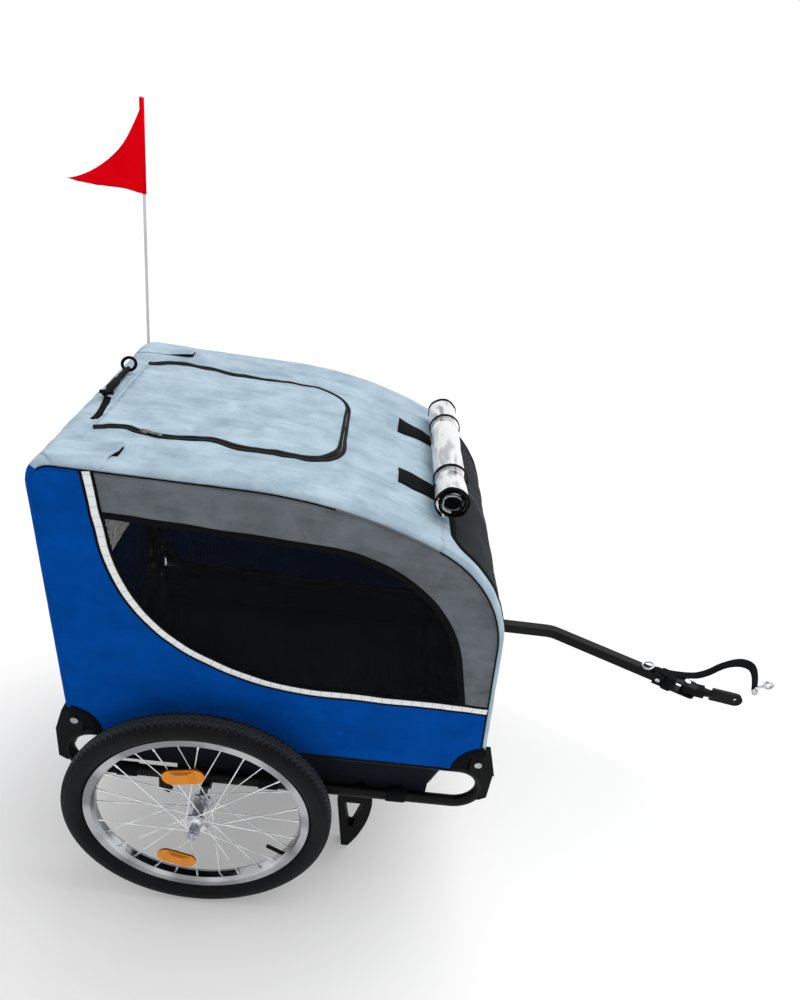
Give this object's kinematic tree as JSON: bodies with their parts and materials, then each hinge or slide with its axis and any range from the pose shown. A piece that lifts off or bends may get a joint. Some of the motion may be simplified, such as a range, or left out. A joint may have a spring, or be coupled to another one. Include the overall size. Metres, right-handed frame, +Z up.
{
  "type": "dog bike trailer",
  "caption": "Two-wheeled dog trailer for a bicycle: folding tube cabin with cloth cover, mesh windows, roof hatch, swinging feet, flag and a tow bar with a turning axle hitch.",
  "frame": {"origin": "middle of the bounding box on the ground, the loose safety strap not counted", "axes": "+X forward along the trailer to the tow hitch, +Y to the left, +Z up"},
  "size_m": [1.6897, 0.7448, 1.392],
  "materials": {
    "tyre_rubber": "matte black rubber",
    "rim_chrome": "polished",
    "spoke_steel": "drawn wire",
    "hub_chrome": "polished",
    "amber_plastic": "moulded lens",
    "axle_steel": "zinc plated",
    "frame_paint": "gloss black powder coat",
    "black_plastic": "moulded",
    "tub_cloth": "coated dark navy cloth",
    "board_plastic": "textured sheet",
    "black_webbing": "woven webbing",
    "roof_cloth": "light grey coated cloth",
    "grey_cloth": "mid grey cloth",
    "blue_cloth": "royal blue cloth",
    "black_mesh": "fly mesh",
    "white_piping": "white bias tape",
    "clear_sheet": "clear vinyl sheet, rolled up",
    "pole_plastic": "white glass-fibre rod",
    "red_cloth": "signal red cloth"
  },
  "bodies": {
    "chassis": {"axle_left": "axle_steel", "axle_right": "axle_steel", "hinge_bolts": "axle_steel", "hitch_pin": "axle_steel", "snap_hook": "axle_steel", "side_loop_left": "frame_paint", "side_loop_right": "frame_paint", "axle_tube": "frame_paint", "stand_tube": "frame_paint", "cross_tubes": "frame_paint", "tow_bar": "frame_paint", "front_bracket_left": "black_plastic", "front_bracket_right": "black_plastic", "rear_bracket_left": "black_plastic", "rear_bracket_right": "black_plastic", "tow_clamps": "black_plastic", "hitch_yoke": "black_plastic", "floor_tub": "tub_cloth", "floor_board": "board_plastic", "tub_bands": "black_webbing", "safety_strap": "black_webbing", "side_grey_left": "grey_cloth", "side_grey_right": "grey_cloth", "rear_panel": "blue_cloth", "side_blue_left": "blue_cloth", "side_blue_right": "blue_cloth", "side_mesh_left": "black_mesh", "side_mesh_right": "black_mesh", "rear_mesh": "black_mesh", "side_piping": "white_piping"},
    "wheel_left": {"tyre_left": "tyre_rubber", "rim_left": "rim_chrome", "spokes_left": "spoke_steel", "hub_left": "hub_chrome", "reflectors_left": "amber_plastic"},
    "button_left": {"button_left": "axle_steel"},
    "foot_left": {"foot_left": "black_plastic"},
    "wheel_right": {"tyre_right": "tyre_rubber", "rim_right": "rim_chrome", "spokes_right": "spoke_steel", "hub_right": "hub_chrome", "reflectors_right": "amber_plastic"},
    "button_right": {"button_right": "axle_steel"},
    "foot_right": {"foot_right": "black_plastic"},
    "front_hoop": {"front_hoop_left": "frame_paint", "front_hoop_right": "frame_paint", "brow_bar": "frame_paint", "roof_cover": "roof_cloth", "front_cover": "roof_cloth", "front_mesh": "black_mesh", "rain_roll": "clear_sheet", "roll_straps": "black_webbing", "lead": "black_webbing"},
    "rear_hoop": {"rear_hoop": "frame_paint"},
    "roof_hatch": {"roof_hatch": "roof_cloth"},
    "hitch_block": {"hitch_block": "black_plastic"},
    "hitch_plate": {"hitch_plate": "black_plastic"},
    "flag": {"flag_pole": "pole_plastic", "flag": "red_cloth"}
  },
  "joints": [
    {"name": "wheel_spin_left", "type": "hinge", "parent": "chassis", "child": "wheel_left", "pos_m": [-0.41269, 0.318, 0.25], "axis": [0, 1, 0], "continuous": true},
    {"name": "axle_button_left", "type": "slide", "parent": "chassis", "child": "button_left", "axis": [0, -1, 0], "range_m": [0, 0.004], "stiffness_N_per_m": 300},
    {"name": "foot_swing_left", "type": "hinge", "parent": "chassis", "child": "foot_left", "pos_m": [-0.1127, 0.172, 0.272], "axis": [0, 1, 0], "range_deg": [0, 70]},
    {"name": "wheel_spin_right", "type": "hinge", "parent": "chassis", "child": "wheel_right", "pos_m": [-0.41269, -0.318, 0.25], "axis": [0, 1, 0], "continuous": true},
    {"name": "axle_button_right", "type": "slide", "parent": "chassis", "child": "button_right", "axis": [0, 1, 0], "range_m": [0, 0.004], "stiffness_N_per_m": 300},
    {"name": "foot_swing_right", "type": "hinge", "parent": "chassis", "child": "foot_right", "pos_m": [-0.1127, -0.172, 0.272], "axis": [0, 1, 0], "range_deg": [0, 70]},
    {"name": "front_fold", "type": "hinge", "parent": "chassis", "child": "front_hoop", "pos_m": [0.09546, 0, 0.405], "axis": [0, 1, 0], "range_deg": [-35, 0], "deforming": ["side_blue_left", "side_blue_right", "side_grey_left", "side_grey_right", "side_mesh_left", "side_mesh_right", "side_piping", "rear_panel", "rear_mesh", "roof_cover", "roof_hatch"]},
    {"name": "rear_fold", "type": "hinge", "parent": "chassis", "child": "rear_hoop", "pos_m": [-0.64918, 0, 0.405], "axis": [0, 1, 0], "range_deg": [0, 88.1]},
    {"name": "hatch_lift", "type": "hinge", "parent": "front_hoop", "child": "roof_hatch", "pos_m": [-0.6247, 0, 0.944], "axis": [0, -1, 0], "range_deg": [0, 90]},
    {"name": "hitch_yaw", "type": "hinge", "parent": "chassis", "child": "hitch_block", "pos_m": [0.67148, 0.11897, 0.3], "axis": [0, 0, 1], "range_deg": [-30, 30]},
    {"name": "hitch_roll", "type": "hinge", "parent": "hitch_block", "child": "hitch_plate", "pos_m": [0.67148, 0.11897, 0.3], "axis": [0.9816, -0.1908, 0], "range_deg": [-60, 60]},
    {"name": "flag_lift", "type": "slide", "parent": "chassis", "child": "flag", "axis": [0, 0, 1], "range_m": [0, 0.07]}
  ],
  "couplings": [
    {"joint": "rear_fold", "follows": "front_fold", "ratio": -2.5143}
  ]
}
